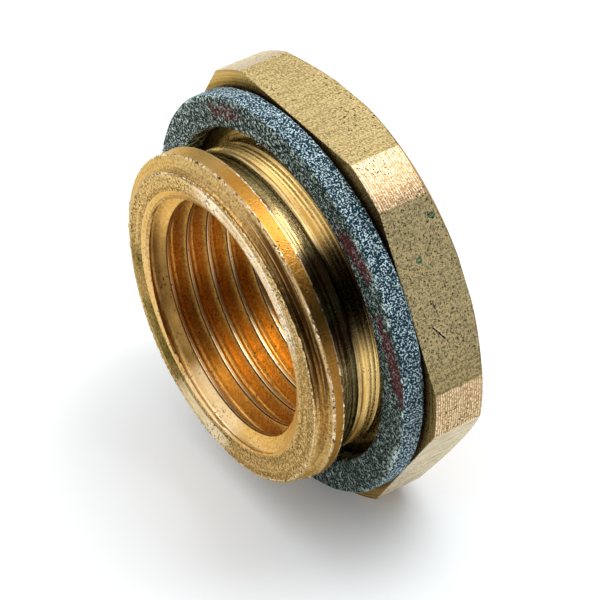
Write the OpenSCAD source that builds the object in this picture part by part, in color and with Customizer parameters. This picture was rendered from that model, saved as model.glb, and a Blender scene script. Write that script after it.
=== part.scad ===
// Brass reducer bush turned from hexagon bar, with the loose fibre washer that seals its flange.
// It lies as it rests, on a flat of the hexagon, and the spigot points along -Y.
// The origin is on the thread axis, in the plane of the flange's sealing face.

/* [Hexagon flange] */
// Width across two opposite flats
flange_af = 32; // [30:0.5:38]
// Thickness of the flange, measured on a flat
flange_t = 5; // [3:0.5:10]
// How far the turned corners stand out past the flats, on the radius
corner_rise = 1.45; // [0.6:0.05:2.2]
// Angle of the bevel turned on the back of the corners, from the back face
bevel_angle = 33; // [15:1:45]

/* [Threads] */
// Pitch of both pipe threads, 14 turns to the inch
pitch = 1.814; // [1.6:0.002:2]
// Major diameter of the male thread
male_d = 26.441; // [25.5:0.001:26.8]
// Width of the male crest that stands beside the neck
male_land = 0.7; // [0.6:0.05:0.8]
// Major diameter of the female thread
female_d = 20.955; // [19.5:0.001:21.4]
// Distance from the spigot's end to the middle of the first female crest
first_crest = 1.17; // [1:0.01:1.4]

/* [Spigot] */
// Length of the spigot past the sealing face
spigot_l = 7.2; // [7:0.1:14]
// Width of the 45 degree chamfer on the spigot's end
end_chamfer = 0.5; // [0.2:0.1:0.8]
// Length of the neck between the sealing face and the male thread
neck_l = 5; // [4.4:0.1:5.2]
// Diameter of the neck's band beside the flange
neck_d = 24.3; // [23.6:0.1:24.6]
// Length of the neck's band beside the flange
band_l = 3; // [2:0.1:3.4]
// Depth of the relief turned between the band and the thread, on the radius
relief = 0.2; // [0.05:0.05:0.4]

/* [Mouths of the bore] */
// How far each mouth opens past the female major diameter, on the radius
mouth_rise = 0.12; // [0.04:0.02:0.4]
// Angle of the mouths' countersink, from the axis
mouth_angle = 60; // [45:1:70]

/* [Sealing washer] */
// Width of the ring from its hole to its rim
washer_w = 2.6; // [1.4:0.1:3.4]
// Thickness
washer_t = 1.75; // [1:0.05:2.5]
// Clearance between the washer's hole and the male thread, on the radius
washer_clearance = 0.38; // [0.3:0.02:0.8]
// How far the loose washer's middle stands above the thread axis
washer_lift = 0.2; // [0:0.02:0.24]
// Gap between the washer and the sealing face
washer_gap = 0.2; // [0.05:0.05:0.4]

/* [Hidden] */
$fn = 96;
// Overshoot of every cutter past the metal that it cuts
cut = 1;
// Straight pieces in the rounded root of a thread
root_steps = 4;

// Pipe thread form: its depth and its root radius follow from the pitch
flank_angle = 27.5;
thread_depth = 0.640327 * pitch;
root_r = 0.137329 * pitch;
groove_half = pitch * 5 / 12;

flat_r = flange_af / 2;
corner_r = flat_r + corner_rise;
body_l = flange_t + spigot_l;
male_r = male_d / 2;
neck_r = neck_d / 2;
relief_r = neck_r - relief;
bore_r = female_d / 2 - thread_depth;
mouth_r = female_d / 2 + mouth_rise;
mouth_l = (mouth_r - bore_r) / tan(mouth_angle);
washer_hole_r = male_r + washer_clearance;

// Distances along the axis from the sealing face to the middle of every thread groove
male_grooves = [neck_l + male_land + groove_half : pitch : spigot_l];
female_grooves = [spigot_l - first_crest + pitch / 2 : -pitch : -flange_t - groove_half];

// Turns a half section about the axis: right of it is the radius, up is the way to the spigot's end
module turned() {
    rotate([90, 0, 0]) rotate_extrude() children();
}

// Section of one thread groove, which opens to the right at the crest radius
module groove() {
    polygon(concat(
        [[cut, -groove_half], [0, -groove_half]],
        [for (i = [0 : root_steps])
            let (a = (90 - flank_angle) * (2 * i / root_steps - 1))
            [root_r * (1 - cos(a)) - thread_depth, root_r * sin(a)]],
        [[0, groove_half], [cut, groove_half]]
    ));
}

// Slice of hexagon bar with its corners turned down and bevelled at the back
module flange() {
    bevel_r = flat_r + 0.05;
    bevel_l = (corner_r - bevel_r) * tan(bevel_angle);
    intersection() {
        rotate([-90, 0, 0]) cylinder(r = flat_r / cos(30), h = flange_t, $fn = 6);
        turned() polygon([
            [0, 0],
            [corner_r, 0],
            [corner_r, bevel_l - flange_t],
            [bevel_r, -flange_t],
            [0, -flange_t]
        ]);
    }
}

// Neck with its relief, male thread and end chamfer
module spigot() {
    turned() difference() {
        polygon([
            [0, -flange_t / 2],
            [neck_r, -flange_t / 2],
            [neck_r, band_l],
            [relief_r, band_l + relief],
            [relief_r, neck_l],
            [male_r, neck_l],
            [male_r, spigot_l - end_chamfer],
            [male_r - end_chamfer, spigot_l],
            [0, spigot_l]
        ]);
        for (place = male_grooves)
            translate([male_r, place]) groove();
    }
}

// Everything that is cut out along the axis: the bore, the female grooves and both mouths
module bore() {
    turned() {
        translate([0, -flange_t - cut]) square([bore_r, body_l + 2 * cut]);
        for (place = female_grooves)
            translate([bore_r, place]) mirror([1, 0]) groove();
        translate([0, spigot_l]) mouth();
        translate([0, -flange_t]) mirror([0, 1]) mouth();
    }
}

// Section of one countersunk mouth, with the end face at zero
module mouth() {
    polygon([[0, -mouth_l], [bore_r, -mouth_l], [mouth_r, 0], [mouth_r, cut], [0, cut]]);
}

module reducer_body() {
    color("#c9a55c")
    difference() {
        union() {
            flange();
            spigot();
        }
        bore();
    }
}

// Flat ring, loose round the spigot, with its rim on the same surface as the flange's lower flat
module sealing_washer() {
    color("#4c5a60")
    translate([0, -washer_gap, washer_lift])
        turned() translate([washer_hole_r, 0]) square([washer_w, washer_t]);
}

reducer_body();
sealing_washer();
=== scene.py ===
import math
from types import SimpleNamespace

import bmesh
import bpy
import numpy as np
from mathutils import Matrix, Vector


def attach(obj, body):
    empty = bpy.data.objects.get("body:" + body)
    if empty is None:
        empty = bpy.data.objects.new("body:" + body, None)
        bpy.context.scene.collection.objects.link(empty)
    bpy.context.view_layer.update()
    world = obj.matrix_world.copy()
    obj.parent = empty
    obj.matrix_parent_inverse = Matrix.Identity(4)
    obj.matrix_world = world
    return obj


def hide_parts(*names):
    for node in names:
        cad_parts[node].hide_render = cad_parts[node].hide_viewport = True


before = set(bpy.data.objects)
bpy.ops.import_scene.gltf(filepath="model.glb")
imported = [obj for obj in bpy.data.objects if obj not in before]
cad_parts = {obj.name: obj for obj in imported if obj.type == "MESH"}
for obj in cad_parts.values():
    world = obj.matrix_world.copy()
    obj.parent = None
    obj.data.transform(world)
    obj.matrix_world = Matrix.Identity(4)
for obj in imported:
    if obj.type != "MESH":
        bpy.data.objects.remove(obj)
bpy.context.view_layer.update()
mm = 0.001  # every size below is written in millimetres and goes through this once

cameraView = {
    "place": (117.644, -78.979, 121.599),
    "turn": (0.856623, 0.012523, 0.967252),
    "lens": 148.973,
}
# form of both pipe threads: depth and root radius are shares of the pitch
threadForm = {"pitch": 1.814, "depth": 0.640327, "rootRadius": 0.137329, "flank": 27.5, "crestHalf": 1 / 6}
pitch = threadForm["pitch"]
threadDepth = threadForm["depth"] * pitch


def makeCamera():
    data = bpy.data.cameras.new("camera")
    data.lens = cameraView["lens"]
    data.sensor_width = 36
    data.clip_start = 0.005
    data.clip_end = 20
    camera = bpy.data.objects.new("camera", data)
    camera.location = [v * mm for v in cameraView["place"]]
    camera.rotation_euler = cameraView["turn"]
    bpy.context.scene.collection.objects.link(camera)
    bpy.context.scene.camera = camera


# nodes: one node with its settings, sockets by name or number
def put(tree, kind, values=None, **settings):
    node = tree.nodes.new(kind)
    for name, value in settings.items():
        setattr(node, name, value)
    for key, value in (values or {}).items():
        wire(tree, value, node.inputs[key])
    return node


def wire(tree, value, socket):
    if isinstance(value, bpy.types.NodeSocket):
        tree.links.new(value, socket)
    else:
        socket.default_value = value


def calc(tree, operation, *values, clamp=False):
    node = put(tree, "ShaderNodeMath", dict(enumerate(values)), operation=operation, use_clamp=clamp)
    return node.outputs[0]


def plus(tree, first, second, clamp=False):
    return calc(tree, "ADD", first, second, clamp=clamp)


def minus(tree, first, second, clamp=False):
    return calc(tree, "SUBTRACT", first, second, clamp=clamp)


def times(tree, first, second, clamp=False):
    return calc(tree, "MULTIPLY", first, second, clamp=clamp)


def flipped(tree, value):  # 1 becomes 0 and 0 becomes 1
    return minus(tree, 1.0, value)


def swing(tree, value, size):  # a noise of 0 to 1 turned into a swing round zero
    return times(tree, minus(tree, value, 0.5), size)


def offset(tree, first, second):  # how far two values lie apart
    return calc(tree, "ABSOLUTE", minus(tree, first, second))


def offWhole(tree, value):  # what is left of a value past the nearest whole number
    return minus(tree, value, calc(tree, "ROUND", value))


def combined(tree, x, y, z):
    return put(tree, "ShaderNodeCombineXYZ", {0: x, 1: y, 2: z}).outputs[0]


def vectorCalc(tree, operation, first, second, output=0):
    return put(tree, "ShaderNodeVectorMath", {0: first, 1: second}, operation=operation).outputs[output]


def scaled(tree, vector, size):
    return put(tree, "ShaderNodeVectorMath", {0: vector, "Scale": size}, operation="SCALE").outputs[0]


def blendColour(tree, factor, low, high, kind="MIX"):
    node = put(tree, "ShaderNodeMix", data_type="RGBA", blend_type=kind)
    for key, value in ((0, factor), (6, low), (7, high)):
        if isinstance(value, tuple):
            value = (*value, 1.0)
        wire(tree, value, node.inputs[key])
    return node.outputs[2]


def stepUp(tree, value, low, high):  # 0 below low, 1 above high, smooth between
    node = put(tree, "ShaderNodeMapRange", {0: value, 1: low, 2: high}, interpolation_type="SMOOTHSTEP")
    return node.outputs[0]


def stepDown(tree, value, low, high):  # 1 below low, 0 above high
    return flipped(tree, stepUp(tree, value, low, high))


def within(tree, value, low, high, soft):  # 1 between low and high, 0 outside
    return times(tree, stepUp(tree, value, low - soft, low), stepDown(tree, value, high, high + soft))


# patterns for the finishes
def millimetres(tree):  # place on the piece in millimetres
    return scaled(tree, put(tree, "ShaderNodeTexCoord").outputs["Object"], 1 / mm)


def noise(tree, place, scale, detail=2.0, rough=0.5, distortion=0.0):
    return put(tree, "ShaderNodeTexNoise", {"Vector": place, "Scale": scale, "Detail": detail,
               "Roughness": rough, "Distortion": distortion}).outputs[0]


def specks(tree, place, perMm, low, high, seed=0.0):  # ragged specks: 1 inside, 0 outside
    moved = vectorCalc(tree, "ADD", place, (seed, seed * 0.7, seed * 1.3))
    return stepUp(tree, noise(tree, moved, perMm, 1.0, 0.6), low, high)


def turnedPlace(tree, place):  # radius, place along the axis, cosine and sine of the angle
    x, y, z = put(tree, "ShaderNodeSeparateXYZ", {0: place}).outputs
    radius = calc(tree, "SQRT", plus(tree, times(tree, x, x), times(tree, z, z)))
    cosine, sine = calc(tree, "DIVIDE", x, radius), calc(tree, "DIVIDE", z, radius)
    return SimpleNamespace(place=place, radius=radius, along=times(tree, y, -1.0), cosine=cosine, sine=sine)


def angleOf(tree, at):  # in radians, 0 to the right and 90 degrees up
    return calc(tree, "ARCTAN2", at.sine, at.cosine)


def around(tree, at, middle, width):  # 1 within width degrees of the middle angle, 0 past twice that
    middle, width = math.radians(middle), math.radians(width)
    close = plus(tree, times(tree, at.cosine, math.cos(middle)), times(tree, at.sine, math.sin(middle)))
    return stepUp(tree, close, math.cos(2 * width), math.cos(width))


def blankMaterial(name):
    material = bpy.data.materials.new(name)
    material.use_nodes = True
    material.node_tree.nodes.clear()
    return material, material.node_tree


# pale and dark are the two ends of the grain's colour, gain is its contrast, lineGain that of the tool lines
brassFinishes = {
    "flats": {"pale": (0.72, 0.575, 0.29), "dark": (0.32, 0.245, 0.105), "rough": 0.58, "spread": 0.0,
              "lines": "bar", "lineScale": 7.0, "lineGain": 2.6, "lineHeight": 0.012,
              "grain": 6.0, "gain": 5.0, "grainHeight": 0.030, "specks": 0.60},
    "corners": {"pale": (0.84, 0.69, 0.48), "dark": (0.36, 0.22, 0.10), "rough": 0.36, "spread": 0.3,
                "lines": "cut", "lineScale": 4.0, "lineGain": 1.0, "lineHeight": 0.006,
                "grain": 5.4, "gain": 5.6, "grainHeight": 0.014, "specks": 0.585},
    "neck": {"pale": (1.0, 0.71, 0.28), "dark": (0.50, 0.28, 0.065), "rough": 0.28, "spread": 0.8,
             "lines": "turned", "lineScale": 4.2, "lineGain": 4.4, "lineHeight": 0.010,
             "grain": 5.0, "gain": 1.2, "grainHeight": 0.01, "specks": 0.66},
    "relief": {"pale": (0.86, 0.62, 0.27), "dark": (0.16, 0.09, 0.028), "rough": 0.20, "spread": 0.2,
               "lines": "turned", "lineScale": 3.6, "lineGain": 6.0, "lineHeight": 0.006,
               "grain": 5.0, "gain": 0.6, "grainHeight": 0.004, "specks": 0.68},
    "spigot": {"pale": (0.76, 0.52, 0.21), "dark": (0.32, 0.19, 0.06), "rough": 0.36, "spread": 0.3,
               "lines": "turned", "lineScale": 4.0, "lineGain": 2.4, "lineHeight": 0.014,
               "grain": 5.0, "gain": 3.2, "grainHeight": 0.030, "specks": 0.63},
    "end": {"pale": (0.77, 0.54, 0.24), "dark": (0.24, 0.14, 0.05), "rough": 0.40, "spread": 0.0,
            "lines": "turned", "lineScale": 2.6, "lineGain": 3.0, "lineHeight": 0.020,
            "grain": 5.4, "gain": 6.0, "grainHeight": 0.045, "specks": 0.56},
    "bore": {"pale": (0.97, 0.56, 0.13), "dark": (0.52, 0.24, 0.04), "rough": 0.36, "spread": 0.3,
             "lines": "turned", "lineScale": 4.0, "lineGain": 1.2, "lineHeight": 0.010,
             "grain": 5.0, "gain": 2.4, "grainHeight": 0.012, "specks": 0.61},
}
brassWearAndLight = {
    "lowTint": (0.92, 0.76, 0.46, 1.0),  # how the metal tints what it mirrors at a low angle
    # near-black for dark gaps in ragged edges and in scratches, and for the painted dark reflection on the neck
    "nearBlack": (0.02, 0.014, 0.008), "pits": (0.06, 0.035, 0.014), "bright": (1.0, 0.88, 0.66),
    # the three dark colours on the next line are painted shade: in thread grooves and beside crests, on the flange's
    # face behind the washer, and in the gap by the neck
    "paintedShade": (0.10, 0.045, 0.012), "faceShade": (0.12, 0.07, 0.030), "gapShadow": (0.025, 0.016, 0.008),
    # flats: the one on the right shows its grain with more contrast and is painted lighter, as painted light; the one
    # below has a painted reflection of the floor
    "rightGain": 9.0, "rightLineGain": 4.0,
    "rightDark": (0.13, 0.10, 0.04), "rightPaintedLight": (0.97, 0.82, 0.47), "rightLightShare": 0.42,
    "floorReflectionDark": (0.46, 0.42, 0.34), "floorReflectionPale": (0.94, 0.91, 0.84), "floorReflectionShare": 0.68,
    "verdigris": (0.012, 0.21, 0.14),
    "spots": ((11.19, -3.84, 12.62, 0.26), (12.49, -1.88, 10.36, 0.22)),  # x, place along the axis, z, radius
    "scratches": (((14.96, 1.37, 6.09), (15.49, 2.05, 5.18), 0.075),  # start, end, half width
                  ((14.02, 1.94, 7.72), (14.61, 2.05, 6.70), 0.040)),
    "scratchSide": (-0.9, 0.4, 1.5),  # where the lit side of a scratch lies, in half widths
    # corners: angle and half width of the one with a painted highlight, the brown line along the back edge, the feed of
    # the tool
    "cornerHighlightAt": (120.0, 10.0), "cornerHighlight": (1.0, 0.96, 0.92), "backLine": (0.20, 0.09, 0.03), "feed": 0.2,
    # neck and male thread: angles and half widths of the painted dark reflection on the neck, the painted dark
    # reflection in the thread's groove and the paler left side of the crest
    "darkReflectionAt": (37.0, 13.0), "grooveDarkReflectionAt": (38.0, 20.0), "paleLeftAt": (130.0, 22.0),
    "crest": (0.40, 0.175, 0.018), "crestRight": (0.27, 0.105, 0.007), "crestLeft": (0.80, 0.52, 0.19),
    # bore: its crests, the painted highlight along their edges and the first turn
    "boreCrest": (0.56, 0.34, 0.13), "boreCrestHighlight": (1.0, 0.86, 0.60), "boreFirst": (0.76, 0.55, 0.26),
    # painted reflections, dark and bright: angle, half width, from and to on the radius or along the axis, strength,
    # colour
    "endReflections": ((-148.0, 20.0, 10.7, 12.0, 0.75, (0.10, 0.075, 0.022)),
                   (-103.0, 10.0, 11.3, 12.7, 0.9, (1.0, 0.86, 0.60)),
                   (62.0, 24.0, 10.6, 11.7, 0.6, (1.0, 0.88, 0.70))),
    "boreReflections": ((-155.0, 24.0, 5.3, 6.35, 0.85, (0.22, 0.115, 0.030)),
                    (-100.0, 12.0, 5.2, 7.2, 0.6, (0.98, 0.78, 0.48))),
}


def raggedEdge(tree, at, colour, away, width):  # broken dark and bright marks along an edge
    near = stepDown(tree, away, width * 0.5, width)
    worn = specks(tree, at.place, 0.45, 0.38, 0.56, 5.0)
    shine = times(tree, specks(tree, at.place, 1.9, 0.50, 0.62, 21.0), worn)
    shine = times(tree, near, plus(tree, 0.25, shine))
    gap = times(tree, near, times(tree, specks(tree, at.place, 3.8, 0.50, 0.56, 34.0), worn))
    colour = blendColour(tree, calc(tree, "MINIMUM", shine, 0.85), colour, brassWearAndLight["bright"])
    return blendColour(tree, times(tree, gap, 0.9), colour, brassWearAndLight["nearBlack"])


def fromScratch(tree, place, start, stop):  # distance from a straight scratch
    start, stop = Vector(start), Vector(stop)
    way = stop - start
    off = vectorCalc(tree, "SUBTRACT", place, tuple(start))
    share = vectorCalc(tree, "DOT_PRODUCT", off, tuple(way), "Value")
    share = calc(tree, "DIVIDE", share, way.length_squared, clamp=True)
    return vectorCalc(tree, "DISTANCE", off, scaled(tree, tuple(way), share), "Value")


def flatsWearAndLight(tree, at, colour):
    # the right flat: darker grain and a painted lighter tone, as painted light
    colour = blendColour(tree, times(tree, at.right, stepUp(tree, at.tone, 0.45, 0.05)), colour, brassWearAndLight["rightDark"])
    colour = blendColour(tree, times(tree, at.right, brassWearAndLight["rightLightShare"]), colour, brassWearAndLight["rightPaintedLight"])
    # the flat below: a painted reflection of the white floor, pale with darker drawn lines
    floorMirror = times(tree, stepUp(tree, at.cosine, 0.45, 0.55), stepDown(tree, at.sine, -0.08, 0.0))
    floorReflection = blendColour(tree, stepUp(tree, at.lines, 0.36, 0.56), brassWearAndLight["floorReflectionDark"], brassWearAndLight["floorReflectionPale"])
    colour = blendColour(tree, times(tree, floorMirror, brassWearAndLight["floorReflectionShare"]), colour, floorReflection)
    for x, along, z, size in brassWearAndLight["spots"]:  # green rings
        away = vectorCalc(tree, "DISTANCE", at.place, (x, -along, z), "Value")
        away = plus(tree, away, swing(tree, at.grain, size * 2.5))
        ring = stepDown(tree, offset(tree, away, size * 0.75), size * 0.15, size * 0.45)
        colour = blendColour(tree, times(tree, ring, 0.95), colour, brassWearAndLight["verdigris"])
    for start, stop, width in brassWearAndLight["scratches"]:
        beside = [[v + d * width for v, d in zip(end, brassWearAndLight["scratchSide"])] for end in (start, stop)]
        lit = fromScratch(tree, at.place, *beside)
        away = plus(tree, fromScratch(tree, at.place, start, stop), swing(tree, at.grain, width * 2.0))
        colour = blendColour(tree, stepDown(tree, lit, width * 0.4, width), colour, brassWearAndLight["bright"])
        colour = blendColour(tree, stepDown(tree, away, width * 0.6, width * 1.1), colour, brassWearAndLight["nearBlack"])
    return wearBackEdge(tree, at, colour)


def cornersHighlight(tree, at, colour):
    # painted highlight on the corner at the given angle, standing in for its grazing reflection
    outerBand = times(tree, around(tree, at, *brassWearAndLight["cornerHighlightAt"]), stepUp(tree, at.radius, 17.1, 17.35))
    colour = blendColour(tree, times(tree, outerBand, 0.75), colour, brassWearAndLight["cornerHighlight"])
    return wearBackEdge(tree, at, colour)


def wearBackEdge(tree, at, colour):  # a thin brown line runs along the back edge
    slope = math.tan(math.radians(body["bevelAngle"]))
    backEdge = plus(tree, body["thick"] + 0.02, times(tree, minus(tree, body["bevelStart"], at.radius), slope))
    off = plus(tree, at.along, backEdge)
    line = times(tree, stepDown(tree, off, 0.05, 0.12), stepUp(tree, off, -0.05, 0.0))
    return blendColour(tree, times(tree, line, 0.7), colour, brassWearAndLight["backLine"])


def reliefDarkReflection(tree, at, colour):  # painted dark reflection: the right side is painted darker, in place of the mirrored dark surroundings
    return blendColour(tree, times(tree, around(tree, at, *brassWearAndLight["darkReflectionAt"]), 0.8), colour, brassWearAndLight["nearBlack"])


def neckShadeAndReflection(tree, at, colour):  # the flange's face belongs to it, with painted shade that is darkest near the washer's hole, as a painted shadow in the gap
    colour = reliefDarkReflection(tree, at, colour)
    # painted shade on the flange's face behind the washer, lighter towards its outer edge, with a painted shadow in the
    # gap by the neck
    face = times(tree, stepDown(tree, at.along, 0.01, 0.06), stepUp(tree, at.radius, 12.55, 12.8))
    face = times(tree, face, minus(tree, 0.90, times(tree, stepUp(tree, at.radius, 16.0, 16.9), 0.40)))
    dirtAndShade = blendColour(tree, stepUp(tree, at.radius, 13.4, 14.2), brassWearAndLight["gapShadow"], brassWearAndLight["faceShade"])
    return blendColour(tree, face, colour, dirtAndShade)


def spigotWearAndLight(tree, at, colour):
    crest = blendColour(tree, stepUp(tree, at.sine, 0.15, 0.70), brassWearAndLight["crestRight"], brassWearAndLight["crest"])
    crest = blendColour(tree, times(tree, around(tree, at, *brassWearAndLight["paleLeftAt"]), 0.8), crest, brassWearAndLight["crestLeft"])
    outerBand = times(tree, stepUp(tree, at.radius, 13.1, 13.17), 0.85)
    colour = blendColour(tree, outerBand, colour, crest)
    # painted dark reflection in the thread's groove on the right side, broken by the tool lines
    darkening = times(tree, around(tree, at, *brassWearAndLight["grooveDarkReflectionAt"]), stepDown(tree, at.radius, 12.9, 13.05))
    darkening = times(tree, darkening, stepUp(tree, at.lines, 0.62, 0.42), clamp=True)
    colour = blendColour(tree, darkening, colour, brassWearAndLight["paintedShade"])
    colour = raggedEdge(tree, at, colour, offset(tree, at.along, maleThread["Low end"] + 0.04), 0.10)
    crestEdge = times(tree, angleOf(tree, at), pitch / (2 * math.pi))
    crestEdge = plus(tree, crestEdge, maleThread["Crest at zero"] + pitch / 12)
    return raggedEdge(tree, at, colour, offset(tree, at.along, crestEdge), 0.09)


def paintedReflections(tree, at, colour, patches, measure, vary):  # painted reflections: dark and bright patches by angle and by the measure
    for middle, width, low, high, strength, tint in patches:
        spot = times(tree, around(tree, at, middle, width), within(tree, measure, low, high, 0.3))
        spot = times(tree, spot, plus(tree, strength, vary), clamp=True)
        colour = blendColour(tree, spot, colour, tint)
    return colour


def endWearAndLight(tree, at, colour):  # where the groove runs out of the end face, its edge is ragged
    streaks = times(tree, minus(tree, plus(tree, at.lines, at.patches), 1.0), 2.0)
    # painted reflections on the end face, dark and bright by angle
    colour = paintedReflections(tree, at, colour, brassWearAndLight["endReflections"], at.radius, streaks)
    turns = calc(tree, "DIVIDE", angleOf(tree, at), 2 * math.pi)
    turns = minus(tree, (maleThread["High end"] - maleThread["Crest at zero"]) / pitch, turns)
    off = times(tree, calc(tree, "ABSOLUTE", offWhole(tree, turns)), 2.0)
    # the thread's section as two straight lines: start, depth there, slope
    flank, root = (plus(tree, deep, times(tree, minus(tree, off, start), slope))
                   for start, deep, slope in ((0.18, 0.035, 1.476), (0.756, 0.885, 0.47)))
    depth = times(tree, calc(tree, "MINIMUM", flank, root), threadDepth)
    depth = calc(tree, "MAXIMUM", maleThread["High mouth"], depth)
    edge = minus(tree, maleThread["Crest radius"], depth)
    return raggedEdge(tree, at, colour, offset(tree, at.radius, edge), 0.21)


def boreShadeAndLight(tree, at, colour):
    turns = calc(tree, "DIVIDE", minus(tree, at.along, femaleThread["Crest at zero"]), pitch)
    turns = minus(tree, turns, calc(tree, "DIVIDE", angleOf(tree, at), 2 * math.pi))
    phase = offWhole(tree, turns)  # 0 on a crest, less than that deeper in
    # painted shade in the grooves, darkest just deeper than each crest
    shade = times(tree, stepUp(tree, phase, -0.40, -0.09), calc(tree, "LESS_THAN", phase, -0.03))
    shade = times(tree, times(tree, shade, 0.72), within(tree, at.along, -4.4, 6.95, 0.05))
    colour = blendColour(tree, shade, colour, brassWearAndLight["paintedShade"])
    onCrest = times(tree, within(tree, at.along, -4.4, 6.45, 0.1), stepDown(tree, at.radius, 9.36, 9.42))
    first, mouth = stepUp(tree, at.along, 5.1, 5.7), stepUp(tree, at.along, 6.5, 6.9)
    first = plus(tree, times(tree, first, 0.5), times(tree, mouth, 0.4))
    colour = blendColour(tree, times(tree, first, at.tone), colour, brassWearAndLight["boreFirst"])
    # painted reflections on the bore's first turns
    colour = paintedReflections(tree, at, colour, brassWearAndLight["boreReflections"], at.along, minus(tree, at.patches, 0.5))
    # the crests are painted dark first, as painted shade on their far side
    colour = blendColour(tree, onCrest, colour, brassWearAndLight["paintedShade"])
    crest = times(tree, within(tree, phase, -0.075, 0.02, 0.012), onCrest)
    colour = blendColour(tree, crest, colour, brassWearAndLight["boreCrest"])
    # painted highlight along each crest's edge
    edge = times(tree, within(tree, phase, 0.018, 0.044, 0.010), onCrest)
    return blendColour(tree, edge, colour, brassWearAndLight["boreCrestHighlight"])


wearAndLightOf = {"flats": flatsWearAndLight, "corners": cornersHighlight, "neck": neckShadeAndReflection, "relief": reliefDarkReflection,
          "spigot": spigotWearAndLight, "end": endWearAndLight, "bore": boreShadeAndLight}


def makeBrass(name):
    look = brassFinishes[name]
    material, tree = blankMaterial("brass_" + name)
    place = millimetres(tree)
    at = turnedPlace(tree, place)
    if look["lines"] == "bar":  # drawn lines run along the bar
        stretched = vectorCalc(tree, "MULTIPLY", place, (1.0, 0.07, 1.0))
    else:  # tool lines run round the axis
        outward = plus(tree, at.radius, times(tree, at.cosine, 0.25))
        stretched = combined(tree, outward, at.along, times(tree, at.sine, 0.25))
    at.lines = noise(tree, stretched, look["lineScale"], 3.0, 0.7)
    at.grain = noise(tree, place, look["grain"], 2.0, 0.7)
    at.patches = noise(tree, place, 0.30, 2.0, 0.6, 0.4)
    dirtAndShade = specks(tree, place, 5.2, look["specks"] + 0.04, look["specks"] + 0.09, 3.0)
    dirtAndShade = calc(tree, "MAXIMUM", dirtAndShade, specks(tree, place, 3.4, look["specks"] + 0.09, look["specks"] + 0.13, 11.0))
    dirtAndShade = times(tree, dirtAndShade, stepUp(tree, at.patches, 0.38, 0.60))

    gain, lineGain = look["gain"], look["lineGain"]
    if name == "flats":
        at.right = times(tree, within(tree, at.cosine, 0.5, 1.1, 0.02), stepUp(tree, at.sine, 0.05, 0.35))
        gain = plus(tree, gain, times(tree, at.right, brassWearAndLight["rightGain"]))
        lineGain = plus(tree, lineGain, times(tree, at.right, brassWearAndLight["rightLineGain"]))
        dirtAndShade = calc(tree, "MAXIMUM", dirtAndShade, times(tree, at.right, specks(tree, place, 6.0, 0.61, 0.64, 8.0)))
    tone = plus(tree, 0.58, swing(tree, at.grain, gain))
    tone = plus(tree, tone, swing(tree, at.lines, lineGain))
    tone = plus(tree, tone, swing(tree, at.patches, 0.8), clamp=True)
    height = times(tree, at.lines, look["lineHeight"])
    if look["lines"] == "cut":  # the corners keep the feed marks of the turning tool
        feed = calc(tree, "SINE", times(tree, at.along, 2 * math.pi / brassWearAndLight["feed"]))
        tone = minus(tree, tone, times(tree, stepUp(tree, feed, 0.0, 0.7), plus(tree, 0.45, at.patches)), clamp=True)
        height = minus(tree, height, times(tree, feed, 0.006))
    at.tone = tone
    colour = wearAndLightOf[name](tree, at, blendColour(tree, tone, look["dark"], look["pale"]))
    colour = blendColour(tree, times(tree, dirtAndShade, 0.85), colour, brassWearAndLight["pits"])
    rough = plus(tree, look["rough"], swing(tree, at.grain, 0.3))
    rough = plus(tree, rough, times(tree, dirtAndShade, 0.3))
    height = plus(tree, height, times(tree, at.grain, look["grainHeight"]))
    height = minus(tree, height, times(tree, dirtAndShade, 0.03))
    bump = put(tree, "ShaderNodeBump", {"Height": height, "Strength": 1.0, "Distance": mm})
    shader = put(tree, "ShaderNodeBsdfPrincipled", {
        "Base Color": colour, "Roughness": rough, "Metallic": 1.0, "Anisotropic": look["spread"],
        "Anisotropic Rotation": 0.25, "Specular Tint": brassWearAndLight["lowTint"], "Normal": bump.outputs[0]})
    if look["spread"] > 0:
        tangent = put(tree, "ShaderNodeTangent", direction_type="RADIAL", axis="Y")
        tree.links.new(tangent.outputs[0], shader.inputs["Tangent"])
    put(tree, "ShaderNodeOutputMaterial", {0: shader.outputs[0]})
    return material


washerFinish = {
    # strands paler than from show and are full at to, specks start at speckFrom
    "face": {"base": (0.002, 0.016, 0.013), "pale": (0.82, 1.0, 0.91),
             "from": 0.630, "to": 0.662, "speck": 0.55, "speckFrom": 0.60},
    "rim": {"base": (0.006, 0.035, 0.055), "pale": (0.70, 0.90, 0.96),
            "from": 0.70, "to": 0.76, "speck": 1.0, "speckFrom": 0.52},
    "fray": {"base": (0.35, 0.40, 0.38), "pale": (0.80, 0.84, 0.82),
             "from": 0.45, "to": 0.60, "speck": 0.2, "speckFrom": 0.55},
    "fibreScale": 4.4, "fibreStretch": 0.17,
    "darkening": 0.42,  # how much darker the right side is
    "tuftAt": (-18.0, 3.5),  # angle and half width of the tuft at the lower right
    "stain": (0.080, 0.004, 0.008),
    # red smudges on the front: angle, half width in degrees, radius, half depth, lean of the smudge
    "smudges": ((115.0, 9.0, 14.8, 0.6, 0.0), (47.5, 8.5, 15.0, 0.80, -0.07), (17.0, 13.0, 15.3, 0.75, -0.045)),
}


def strands(tree, place, tilt, turn):  # thin strokes in one direction
    turned = put(tree, "ShaderNodeMapping", {"Vector": place, "Rotation": (tilt, turn, math.pi / 2),
                                             "Scale": (1.0, washerFinish["fibreStretch"], 1.0)}).outputs[0]
    return noise(tree, turned, washerFinish["fibreScale"], 2.0, 0.55, 0.5)


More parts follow.
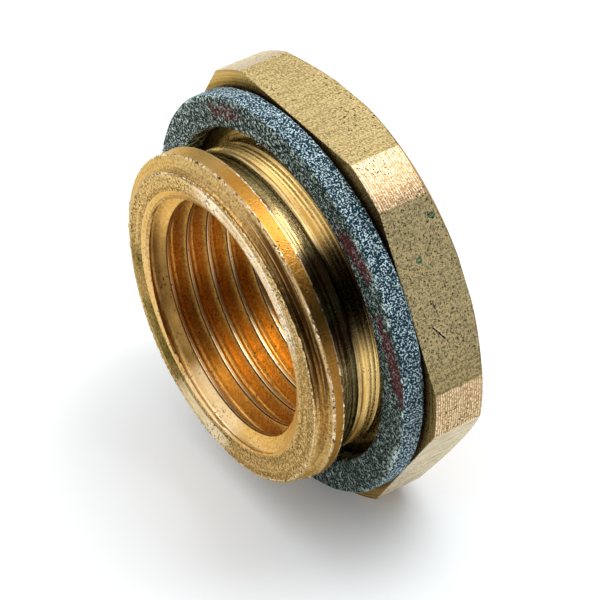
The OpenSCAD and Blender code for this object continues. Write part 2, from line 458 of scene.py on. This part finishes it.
def smudged(tree, at, colour, mottle, paleness):  # red smudges on the front
    angle = times(tree, angleOf(tree, at), 180 / math.pi)
    for middle, width, depth, spread, lean in washerFinish["smudges"]:
        turnedBy = minus(tree, angle, middle)
        offAngle = calc(tree, "DIVIDE", calc(tree, "ABSOLUTE", turnedBy), width)
        offRadius = minus(tree, minus(tree, at.radius, depth), times(tree, turnedBy, lean))
        offRadius = calc(tree, "DIVIDE", calc(tree, "ABSOLUTE", offRadius), spread)
        away = calc(tree, "SQRT", plus(tree, calc(tree, "POWER", offAngle, 2.0), calc(tree, "POWER", offRadius, 2.0)))
        away = plus(tree, away, swing(tree, mottle, 2.4))
        mask = times(tree, stepDown(tree, away, 0.85, 1.15), flipped(tree, times(tree, paleness, 0.75)))
        colour = blendColour(tree, times(tree, mask, 0.85), colour, washerFinish["stain"])
    return colour


def makeFibre(name):
    look = washerFinish[name]
    material, tree = blankMaterial("fibre_" + name)
    place = millimetres(tree)
    at = turnedPlace(tree, place)
    fibres = strands(tree, place, 0.0, 0.3)
    for tilt, turn in ((0.2, 1.1), (-0.2, 1.9), (0.1, 2.7)):
        fibres = calc(tree, "MAXIMUM", fibres, strands(tree, place, tilt, turn))
    mottle = noise(tree, place, 1.1, 3.0, 0.65)
    sparkle = noise(tree, place, 7.5, 1.0, 0.6)
    glints = times(tree, stepUp(tree, sparkle, look["speckFrom"], look["speckFrom"] + 0.08), look["speck"])
    paleness = calc(tree, "MAXIMUM", stepUp(tree, fibres, look["from"], look["to"]), glints)
    paleness = times(tree, paleness, plus(tree, 0.15, times(tree, mottle, 1.5)), clamp=True)
    if name == "face":  # the right side is darker
        darkening = times(tree, stepUp(tree, at.cosine, -0.1, 0.6), washerFinish["darkening"])
        paleness = times(tree, paleness, flipped(tree, darkening))
    colour = blendColour(tree, paleness, look["base"], look["pale"])
    if name == "face":  # pale tufts stand at the outer edge
        tufts = times(tree, stepUp(tree, at.radius, 15.75, 16.05), specks(tree, place, 1.0, 0.50, 0.60, 17.0))
        tuft = times(tree, stepUp(tree, at.radius, 15.3, 15.9), around(tree, at, *washerFinish["tuftAt"]))
        tufts = times(tree, calc(tree, "MAXIMUM", tufts, tuft), stepUp(tree, sparkle, 0.42, 0.52))
        colour = blendColour(tree, tufts, colour, look["pale"])
        colour = smudged(tree, at, colour, mottle, paleness)
    height = plus(tree, times(tree, fibres, 0.25), times(tree, mottle, 0.25))
    height = plus(tree, height, times(tree, sparkle, 0.12))
    bump = put(tree, "ShaderNodeBump", {"Height": height, "Strength": 0.8, "Distance": mm})
    shader = put(tree, "ShaderNodeBsdfPrincipled", {
        "Base Color": colour, "Roughness": 0.7, "Metallic": 0.0, "Specular IOR Level": 0.15, "Normal": bump.outputs[0]})
    put(tree, "ShaderNodeOutputMaterial", {0: shader.outputs[0]})
    return material


# thread walls by geometry nodes
columns = 432  # round the axis, so that 72 make a side of the hexagon
rowsPerPitch = 14

maleThread = {
    "Side": -1.0, "Crest radius": 13.2205, "Crest at zero": 5.65, "First turn": -1.0, "Last turn": 1.5,
    "Low end": 4.98, "High end": 7.2, "Low mouth": -1.0, "High mouth": 0.5,
    "Mouth slope": 1.0,
    "Run-out start": -0.50, "Run-out end": -0.31, "Burr": 0.12, "Seed": 4.0,
}
femaleThread = {
    "Side": 1.0, "Crest radius": 10.4775 - threadDepth, "Crest at zero": 6.47, "First turn": -7.0, "Last turn": 1.0,
    "Low end": -5.0, "High end": 7.2, "Low mouth": threadDepth + 0.12, "High mouth": threadDepth + 0.12,
    "Mouth slope": 1.732,
    "Run-out start": -20.0, "Run-out end": -19.0, "Burr": 0.03, "Seed": 9.0,
}
lengthInputs = ("Pitch", "Depth", "Crest radius", "Crest at zero", "Low end", "High end", "Low mouth", "High mouth", "Burr")


def sectionPoints():  # half of one thread: 0 on the crest's middle, 1 on the root's middle; value is depth
    rootRadius, depth = threadForm["rootRadius"], threadForm["depth"]
    crestHalf, flank = threadForm["crestHalf"], math.radians(threadForm["flank"])
    points = [(0.0, 0.0), (crestHalf - 0.02, 0.0), (crestHalf + 0.015, 0.035)]
    for off in (math.cos(flank) * rootRadius, 0.1, 0.075, 0.045, 0.02, 0.0):
        points.append((1 - 2 * off, (depth - rootRadius + math.sqrt(rootRadius ** 2 - off ** 2)) / depth))
    return points


def rowPoints():  # where the rows of one turn lie, closer at the crest's edges and the root
    half = [0.0, 0.9 / 12, 1.12 / 12, 2.2 / 12, 3.5 / 12, 4.6 / 12, 5.35 / 12, 0.5]
    places = half + [1 - v for v in reversed(half[:-1])]
    return [(i / rowsPerPitch, v) for i, v in enumerate(places)]


def curveNode(tree, value, points):
    node = put(tree, "ShaderNodeFloatCurve", {"Value": value})
    curve = node.mapping.curves[0]
    while len(curve.points) < len(points):
        curve.points.new(0.5, 0.5)
    for point, (x, y) in zip(sorted(curve.points, key=lambda p: p.location.x), points):
        point.location = (x, y)
        point.handle_type = "VECTOR"
    node.mapping.update()
    return node.outputs[0]


def raggedNoise(tree, place, seed, scale):
    return put(tree, "ShaderNodeTexNoise", {"Vector": place, "W": seed, "Scale": scale, "Detail": 2.0, "Roughness": 0.7},
               noise_dimensions="4D").outputs[0]


def newTree(name, inputs, output):
    tree = bpy.data.node_groups.new(name, "GeometryNodeTree")
    for label, kind in inputs:
        tree.interface.new_socket(label, in_out="INPUT", socket_type="NodeSocket" + kind)
    tree.interface.new_socket(output, in_out="OUTPUT", socket_type="NodeSocketGeometry")
    return tree, tree.nodes.new("NodeGroupInput").outputs


def finishTree(tree, geometry, finish):
    real = put(tree, "GeometryNodeRealizeInstances", {0: geometry})
    coated = put(tree, "GeometryNodeSetMaterial", {0: real.outputs[0], "Material": finish})
    put(tree, "NodeGroupOutput", {0: coated.outputs[0]})
    return tree


def threadTree():
    names = ["Pitch", "Depth"] + list(maleThread)
    inputs = [("Columns", "Int"), ("Rows", "Int")] + [(name, "Float") for name in names] + [("Finish", "Material")]
    tree, given = newTree("threadWall", inputs, "Wall")
    grid = put(tree, "GeometryNodeMeshGrid", {
        "Size X": 1.0, "Size Y": 1.0,
        "Vertices X": plus(tree, given["Columns"], 1.0), "Vertices Y": plus(tree, given["Rows"], 1.0)})
    at = put(tree, "ShaderNodeSeparateXYZ", {0: put(tree, "GeometryNodeInputPosition").outputs[0]})
    turn = at.outputs[0]  # -0.5 to 0.5 of a full turn
    span = minus(tree, given["Last turn"], given["First turn"])
    lead = plus(tree, given["First turn"], times(tree, plus(tree, at.outputs[1], 0.5), span))
    lead = plus(tree, lead, 1e-5)
    whole = calc(tree, "FLOOR", lead)
    lead = plus(tree, whole, curveNode(tree, minus(tree, lead, whole), rowPoints()))

    # the rows climb one pitch a turn and stop at both ends
    angle = times(tree, turn, 2 * math.pi)
    cosine, sine = calc(tree, "COSINE", angle), calc(tree, "SINE", angle)
    free = plus(tree, given["Crest at zero"], times(tree, given["Pitch"], plus(tree, turn, lead)))
    edgeRing = combined(tree, cosine, 0.0, sine)
    chipped = stepUp(tree, raggedNoise(tree, edgeRing, given["Seed"], 30.0), 0.5, 0.75)
    lowEdge = plus(tree, given["Low end"], times(tree, chipped, given["Burr"]))
    along = calc(tree, "MINIMUM", calc(tree, "MAXIMUM", free, lowEdge), given["High end"])
    placed = calc(tree, "DIVIDE", minus(tree, along, given["Crest at zero"]), given["Pitch"])
    placed = minus(tree, placed, turn)
    section = curveNode(tree, times(tree, calc(tree, "ABSOLUTE", offWhole(tree, placed)), 2.0), sectionPoints())
    unwound = plus(tree, turn, calc(tree, "FLOOR", placed))
    runOut = stepUp(tree, unwound, given["Run-out start"], given["Run-out end"])
    cut = times(tree, times(tree, section, given["Depth"]), runOut)
    highMouth = times(tree, minus(tree, given["High end"], along), given["Mouth slope"])
    lowMouth = times(tree, minus(tree, along, given["Low end"]), given["Mouth slope"])
    mouth = calc(tree, "MAXIMUM", minus(tree, given["High mouth"], highMouth), minus(tree, given["Low mouth"], lowMouth))
    deepest = calc(tree, "MAXIMUM", cut, mouth)

    # burrs stand where the thread runs into a mouth
    near = stepDown(tree, offset(tree, cut, mouth), 0.0, 0.00026)
    ring = combined(tree, cosine, times(tree, along, 90.0), sine)
    ragged = times(tree, minus(tree, raggedNoise(tree, ring, given["Seed"], 34.0), 0.45), 7.0)
    burr = times(tree, times(tree, near, given["Burr"]), ragged)
    radius = plus(tree, given["Crest radius"], times(tree, given["Side"], minus(tree, deepest, burr)))
    placedAt = combined(tree, times(tree, radius, cosine), times(tree, along, -1.0), times(tree, radius, sine))
    moved = put(tree, "GeometryNodeSetPosition", {"Geometry": grid.outputs[0], "Position": placedAt})
    return finishTree(tree, moved.outputs[0], given["Finish"])


def socketIds(tree):
    return {item.name: item.identifier for item in tree.interface.items_tree if item.in_out == "INPUT"}


def grownMesh(name, tree, values, base=None):  # runs a tree once and keeps the plain mesh
    holder = bpy.data.objects.new(name, base or bpy.data.meshes.new(name))
    bpy.context.scene.collection.objects.link(holder)
    modifier = holder.modifiers.new("grow", "NODES")
    modifier.node_group = tree
    ids = socketIds(tree)
    for key, value in values.items():
        modifier[ids[key]] = value
    bpy.context.view_layer.update()
    seen = holder.evaluated_get(bpy.context.evaluated_depsgraph_get())
    mesh = bpy.data.meshes.new_from_object(seen)
    holder.modifiers.remove(modifier)
    bpy.data.objects.remove(holder)
    return mesh


def threadRows(tree, name, thread, material):  # positions as [row][column] in millimetres, low end first
    rows = round((thread["Last turn"] - thread["First turn"]) * rowsPerPitch)
    values = {key: value * mm if key in lengthInputs else value for key, value in thread.items()}
    values.update({"Columns": columns, "Rows": rows, "Pitch": pitch * mm, "Depth": threadDepth * mm, "Finish": material})
    mesh = grownMesh(name, tree, values)
    flat = np.empty(len(mesh.vertices) * 3)
    mesh.vertices.foreach_get("co", flat)
    bpy.data.meshes.remove(mesh)
    return (flat.reshape(columns + 1, rows + 1, 3) / mm).transpose(1, 0, 2)


# reducer body: flat, corner, neck, relief and bevelStart are radii, band and wall are places along the axis
body = {
    "flat": 15.999, "corner": 17.44, "thick": 5.0, "bevelStart": 16.05, "bevelAngle": 33.0, "frontEdge": 0.05,
    "neck": 12.15, "band": 2.55, "relief": 11.95, "wall": 4.6, "fillet": 0.5,
    "toolMark": 0.070, "toolStep": 0.17,
    "deepMarks": 1.65, "deepMarksTo": 1.9,  # the marks beside the flange are deeper
    "seed": 5, "mouthRise": 0.12,
}


def circle(radius, along, angles):  # the spigot points along -Y
    return np.stack([radius * np.cos(angles), np.zeros_like(angles) - along, radius * np.sin(angles)], -1)


def between(first, last, steps):  # rows between two rings, both left out
    return [first + (last - first) * k / (steps + 1) for k in range(1, steps + 1)]


def hexagonOutline(angles):  # columns are moved a little, so that the corners' edges fall on them
    edge = math.degrees(math.acos(body["flat"] / body["corner"]))
    sideAngles = angles.copy()
    for side in range(-3, 3):
        middle = 30 + 60 * side
        for sign in (-1, 1):
            wanted = math.radians((middle + sign * edge + 180) % 360 - 180)
            sideAngles[np.argmin(np.abs(angles - wanted))] = wanted
    fromFlat = (np.degrees(sideAngles) + 360) % 60 - 30
    outline = np.minimum(body["flat"] / np.cos(np.radians(fromFlat)), body["corner"])
    middleAngle = (fromFlat[:-1] + fromFlat[1:]) / 2
    onFlat = (np.abs(middleAngle) < edge) & (np.abs(fromFlat[:-1] - fromFlat[1:]) < 30)
    return sideAngles, outline, onFlat


def neckRings(angles):  # relief, band and neck: tool marks move each ring a little
    random = np.random.default_rng(body["seed"])
    relief, wall, band, neck, fillet = (body[key] for key in ("relief", "wall", "band", "neck", "fillet"))
    profile = [(relief + 0.35, wall + 0.12), (relief + 0.04, wall)]
    profile += [(relief + random.uniform(-1, 1) * 0.006, v) for v in np.linspace(wall - 0.1, band + 0.28, 12)]
    profile += [(neck - 0.03, band + 0.02)]
    rings = [(circle(radius, along, angles), "relief") for radius, along in profile]
    along = band - 0.02
    while along > 0.2:  # each turn of the tool leaves a slope that looks towards the thread
        step = random.uniform(0.7, 1.25) * body["toolStep"]
        rise = random.uniform(0.6, 1.2) * body["toolMark"]
        rise *= body["deepMarks"] if along < body["deepMarksTo"] else 1.0
        radius = neck + fillet - math.sqrt(fillet ** 2 - max(0.0, fillet - along) ** 2)
        rings.append((circle(radius - rise, along, angles), "neck"))
        rings.append((circle(radius, along - step + 0.012, angles), "neck"))
        along -= step
    return rings


def makeBody(materials):
    tree = threadTree()
    female = threadRows(tree, "femaleThread", femaleThread, materials["bore"])
    male = threadRows(tree, "maleThread", maleThread, materials["spigot"])
    angles = np.linspace(-math.pi, math.pi, columns + 1)
    sideAngles, outline, onFlat = hexagonOutline(angles)
    thick, frontEdge = body["thick"], body["frontEdge"]
    slope = math.tan(math.radians(body["bevelAngle"]))
    backEdge = -thick + np.maximum(outline - body["bevelStart"], 0) * slope
    rows = []  # each ring, and the finish of the faces between it and the next one

    def add(rings, finish):
        rows.extend((ring, finish) for ring in rings)

    # from the back of the bore to the spigot's end, then outside back to the flange
    add(female[:-1], "bore")
    add([female[-1]] + between(female[-1], male[-1], 5), "end")
    add(male[:0:-1], "spigot")
    add([male[0]], "relief")
    rows.extend(neckRings(angles))
    foot = circle(body["neck"] + body["fillet"], 0.0, angles)
    frontRim = circle(outline - frontEdge, 0.0, sideAngles)
    add([foot] + between(foot, frontRim, 4), "neck")
    start, stop = circle(outline, -frontEdge, sideAngles), circle(outline, backEdge + 0.03, sideAngles)
    add([frontRim, start] + between(start, stop, 5), "side")
    bevelTop = circle(outline - 0.04, np.maximum(backEdge - 0.02, -thick), sideAngles)
    bevelFoot = circle(np.minimum(outline - 0.06, body["bevelStart"]), -thick, sideAngles)
    mouthRing = circle(np.hypot(female[0][:, 0], female[0][:, 2]) + body["mouthRise"], -thick, angles)
    add([stop, bevelTop] + between(bevelTop, bevelFoot, 3), "corners")
    add([bevelFoot] + between(bevelFoot, mouthRing, 3) + [mouthRing], "corners")
    return joinRows([ring for ring, finish in rows] + [female[0]], [finish for ring, finish in rows], onFlat, materials)


def joinRows(rows, finishes, onFlat, materials):
    names = ["bore", "spigot", "neck", "corners", "flats", "end", "relief"]
    flange = {names.index("corners"), names.index("flats")}
    wide = columns + 1
    faces, marks = [], []
    for row, finish in enumerate(finishes):
        for column in range(columns):
            a = row * wide + column
            faces.append((a, a + 1, a + 1 + wide, a + wide))
            kind = finish if finish != "side" else "flats" if onFlat[column] else "corners"
            marks.append(names.index(kind))
    mesh = plainMesh("reducerBody", rows, faces, marks, [materials[name] for name in names])
    work = bmesh.new()
    work.from_mesh(mesh)
    bmesh.ops.remove_doubles(work, verts=work.verts, dist=2e-6)
    bmesh.ops.dissolve_degenerate(work, edges=work.edges, dist=1e-7)
    bmesh.ops.recalc_face_normals(work, faces=work.faces)
    for line in work.edges:
        if len(line.link_faces) == 2:
            kinds = {f.material_index for f in line.link_faces}
            line.smooth = line.calc_face_angle(0.0) < math.radians(14 if kinds & flange else 38)
    return keptPiece("reducerBody", mesh, work)


def plainMesh(name, rows, faces, marks, finishes):
    mesh = bpy.data.meshes.new(name)
    mesh.from_pydata((np.concatenate(rows) * mm).tolist(), [], faces)
    for finish in finishes:
        mesh.materials.append(finish)
    mesh.polygons.foreach_set("material_index", marks)
    mesh.polygons.foreach_set("use_smooth", [True] * len(faces))
    return mesh


def keptPiece(name, mesh, work):
    print(name, "triangles", sum(len(f.verts) - 2 for f in work.faces),
          "open edges", sum(1 for line in work.edges if len(line.link_faces) != 2))
    work.to_mesh(mesh)
    work.free()
    piece = bpy.data.objects.new(name, mesh)
    bpy.context.scene.collection.objects.link(piece)
    return piece


# sealing washer: waves gives how ragged the rim and the hole are, swells how far they stand out at an angle
washer = {
    "rim": 16.2, "hole": 13.6, "thick": 1.75, "gap": 0.2, "lift": 0.2, "edge": 0.10,
    "columns": 420, "rimRows": 12, "faceRows": 16,
    "rimWaves": (3, 40, 0.06, -0.06), "holeWaves": (8, 30, 0.06, -0.08),  # seed, number, height, shift
    "rimSwells": ((25, 35, 0.20), (92, 30, -0.35)), "holeSwells": ((100, 35, -0.24),),  # angle, width, rise
    "seed": 7, "fibreDensity": 1.6e6, "fibreThick": 0.028, "fibreLength": 0.32, "fibreLowest": -14.2,
}


def fibreTree():  # short bent fibres that lie on the washer's skin
    tree, given = newTree("frayedFibres", (
        ("Skin", "Geometry"), ("Seed", "Int"), ("Density", "Float"), ("Thickness", "Float"), ("Length", "Float"),
        ("Lowest", "Float"), ("Rearmost", "Float"), ("Finish", "Material")), "Fibres")
    position = put(tree, "GeometryNodeInputPosition").outputs[0]
    at = put(tree, "ShaderNodeSeparateXYZ", {0: position}).outputs
    high = put(tree, "FunctionNodeCompare", {0: at[2], 1: given["Lowest"]}, operation="GREATER_THAN").outputs[0]
    clear = put(tree, "FunctionNodeCompare", {0: at[1], 1: given["Rearmost"]}, operation="LESS_THAN").outputs[0]
    # fibres keep off the floor and the flange
    free = put(tree, "FunctionNodeBooleanMath", {0: high, 1: clear}, operation="AND").outputs[0]
    tufts = noise(tree, position, 350.0, 2.0, 0.6)
    density = times(tree, given["Density"], stepUp(tree, tufts, 0.42, 0.68))
    points = put(tree, "GeometryNodeDistributePointsOnFaces", {
        "Mesh": given["Skin"], "Selection": free, "Density": density, "Seed": given["Seed"]})

    def bendPoint(x, y, z):  # as shares of the length
        return combined(tree, *(times(tree, given["Length"], share) for share in (x, y, z)))

    bend = put(tree, "GeometryNodeCurveQuadraticBezier", {
        "Resolution": 4, "Start": bendPoint(0.0, 0.0, -0.05),
        "Middle": bendPoint(0.5, 0.25, 0.22), "End": bendPoint(1.0, 0.0, 0.10)})
    profile = put(tree, "GeometryNodeCurvePrimitiveCircle", {"Resolution": 3, "Radius": given["Thickness"]})
    fibre = put(tree, "GeometryNodeCurveToMesh", {
        "Curve": bend.outputs[0], "Profile Curve": profile.outputs[0], "Fill Caps": True})
    spin = put(tree, "FunctionNodeRandomValue", {
        "Min": 0.0, "Max": 2 * math.pi, "Seed": given["Seed"]}, data_type="FLOAT")
    spun = put(tree, "FunctionNodeAxisAngleToRotation", {"Axis": (0.0, 0.0, 1.0), "Angle": spin.outputs[1]})
    turned = put(tree, "FunctionNodeRotateRotation", {
        0: points.outputs["Rotation"], 1: spun.outputs[0]}, rotation_space="LOCAL")
    size = put(tree, "FunctionNodeRandomValue", {
        "Min": 0.5, "Max": 1.5, "Seed": plus(tree, given["Seed"], 1.0)}, data_type="FLOAT")
    placed = put(tree, "GeometryNodeInstanceOnPoints", {
        "Points": points.outputs["Points"], "Instance": fibre.outputs[0],
        "Rotation": turned.outputs[0], "Scale": size.outputs[1]})
    return finishTree(tree, placed.outputs[0], given["Finish"])


def waves(angles, seed, count, top):  # smooth random wobble round the ring, from -1 to 1
    random = np.random.default_rng(seed)
    total = np.zeros_like(angles)
    for number in range(1, count + 1):
        total += random.normal() / number ** 0.5 * np.cos(number * angles + random.uniform(0, 6.3))
    return total / np.abs(total).max() * top


def wavyRadius(angles, name):
    seed, count, top, shift = washer[name + "Waves"]
    radius = washer[name] + shift + waves(angles, seed, count, top)
    for middle, width, rise in washer[name + "Swells"]:
        radius += rise * np.exp(-((angles - math.radians(middle)) / math.radians(width)) ** 2)
    return radius


def washerSection():  # share from hole to rim, inset, place along the axis, and whether it is the rim
    steps, rimRows, edge = washer["faceRows"], washer["rimRows"], washer["edge"]
    back, front = washer["gap"], washer["gap"] + washer["thick"]
    section = [(k / steps, edge, front, False) for k in range(steps + 1)]
    section += [(1.0, 0.0, front - washer["thick"] * k / rimRows, True) for k in range(1, rimRows)]
    section += [(1 - k / steps, edge, back, False) for k in range(steps + 1)]
    section += [(0.0, 0.0, back + washer["thick"] * k / rimRows, False) for k in range(1, rimRows)]
    return section


def makeWasher(materials):
    angles = np.linspace(-math.pi, math.pi, washer["columns"], endpoint=False)
    rim, hole = wavyRadius(angles, "rim"), wavyRadius(angles, "hole")
    section = washerSection()
    rows = [circle((hole + inset) + (rim - hole - 2 * inset) * share, along, angles) + np.array([0, 0, washer["lift"]])
            for share, inset, along, onRim in section]
    count, wide = len(rows), len(angles)
    faces, marks = [], []
    for row in range(count):
        after = (row + 1) % count
        for column in range(wide):
            beside = (column + 1) % wide
            faces.append((row * wide + column, row * wide + beside, after * wide + beside, after * wide + column))
            marks.append(1 if section[row][3] or section[after][3] else 0)
    finishes = [materials["washerFace"], materials["washerRim"], materials["washerFray"]]
    mesh = plainMesh("sealingWasher", rows, faces, marks, finishes)
    fibres = grownMesh("frayedFibres", fibreTree(), {
        "Seed": washer["seed"], "Density": washer["fibreDensity"], "Thickness": washer["fibreThick"] * mm,
        "Length": washer["fibreLength"] * mm, "Lowest": washer["fibreLowest"] * mm,
        "Rearmost": -(washer["gap"] + washer["fibreLength"]) * mm, "Finish": materials["washerFray"]}, mesh)
    work = bmesh.new()
    work.from_mesh(mesh)
    ringFaces = len(work.faces)
    work.from_mesh(fibres)
    work.faces.ensure_lookup_table()
    for face in work.faces[ringFaces:]:
        face.material_index = 2
        face.smooth = False
    bmesh.ops.recalc_face_normals(work, faces=work.faces)
    bpy.data.meshes.remove(fibres)
    return keptPiece("sealingWasher", mesh, work)


# studio
studio = {
    "floorSize": 1600.0, "floorHeight": -16.0, "floorColour": (0.89, 0.92, 0.94), "floorGlow": 0.12,
    "sky": ((0.0, 0.20), (0.3, 0.50), (0.6, 1.05), (0.85, 1.5), (1.0, 1.6)),  # height of the direction, strength
    "frontSky": 1.0, "flagFrom": 0.32, "flagTo": 0.48,  # a dark flag stands on the right
    "lamps": (("topBox", (40, 195, 420), 240, 0.76), ("leftBox", (-260, -160, 330), 220, 0.12)),  # place, size, power
}


def makeFloor():
    half, z = studio["floorSize"] * mm / 2, studio["floorHeight"] * mm
    mesh = bpy.data.meshes.new("floor")
    mesh.from_pydata([(-half, -half, z), (half, -half, z), (half, half, z), (-half, half, z)], [], [(0, 1, 2, 3)])
    floor = bpy.data.objects.new("floor", mesh)
    bpy.context.scene.collection.objects.link(floor)
    material, tree = blankMaterial("floorPaper")
    grain = noise(tree, millimetres(tree), 2.5, 2.0, 0.6)
    colour = blendColour(tree, grain, tuple(v * 0.985 for v in studio["floorColour"]), studio["floorColour"])
    paper = put(tree, "ShaderNodeBsdfDiffuse", {"Color": colour})
    ray = put(tree, "ShaderNodeLightPath")
    seen = calc(tree, "MAXIMUM", ray.outputs["Is Glossy Ray"], ray.outputs["Is Transmission Ray"])
    seen = calc(tree, "MAXIMUM", ray.outputs["Is Camera Ray"], seen)
    glow = put(tree, "ShaderNodeEmission", {"Strength": times(tree, seen, studio["floorGlow"])})
    both = put(tree, "ShaderNodeAddShader", {0: paper.outputs[0], 1: glow.outputs[0]})
    put(tree, "ShaderNodeOutputMaterial", {0: both.outputs[0]})
    mesh.materials.append(material)


def makeLight():
    world = bpy.data.worlds.new("softRoom")
    bpy.context.scene.world = world
    world.use_nodes = True
    tree = world.node_tree
    tree.nodes.clear()
    way = put(tree, "ShaderNodeSeparateXYZ", {0: put(tree, "ShaderNodeTexCoord").outputs["Generated"]})
    ramp = put(tree, "ShaderNodeValToRGB", {0: way.outputs[2]})
    stops = ramp.color_ramp.elements
    for number, (height, strength) in enumerate(studio["sky"]):
        stop = stops[number] if number < 2 else stops.new(height)
        stop.position = height
        stop.color = (strength, strength, strength, 1)
    flag = stepUp(tree, way.outputs[0], studio["flagFrom"], studio["flagTo"])
    front = times(tree, stepUp(tree, times(tree, way.outputs[1], -1.0), 0.35, 0.8), studio["frontSky"])
    colour = blendColour(tree, 1.0, ramp.outputs[0], combined(tree, front, front, front), "LIGHTEN")
    glow = put(tree, "ShaderNodeBackground", {"Color": colour, "Strength": flipped(tree, flag)})
    put(tree, "ShaderNodeOutputWorld", {0: glow.outputs[0]})
    for name, place, size, power in studio["lamps"]:
        data = bpy.data.lights.new(name, "AREA")
        data.size = size * mm
        data.energy = power
        lamp = bpy.data.objects.new(name, data)
        lamp.location = [v * mm for v in place]
        lamp.rotation_euler = (-Vector(lamp.location)).to_track_quat("-Z", "Y").to_euler()
        bpy.context.scene.collection.objects.link(lamp)


makeCamera()
makeFloor()
makeLight()
bpy.context.scene.view_settings.view_transform = "Standard"
print("studio made")

materials = {name: makeBrass(name) for name in brassFinishes}
for part in ("face", "rim", "fray"):
    materials["washer" + part.capitalize()] = makeFibre(part)
print("finishes made")

reducerBody = makeBody(materials)
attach(reducerBody, "root")
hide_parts("reducer_body")
print("reducer body made")

sealingWasher = makeWasher(materials)
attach(sealingWasher, "root")
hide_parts("sealing_washer")
print("sealing washer made")
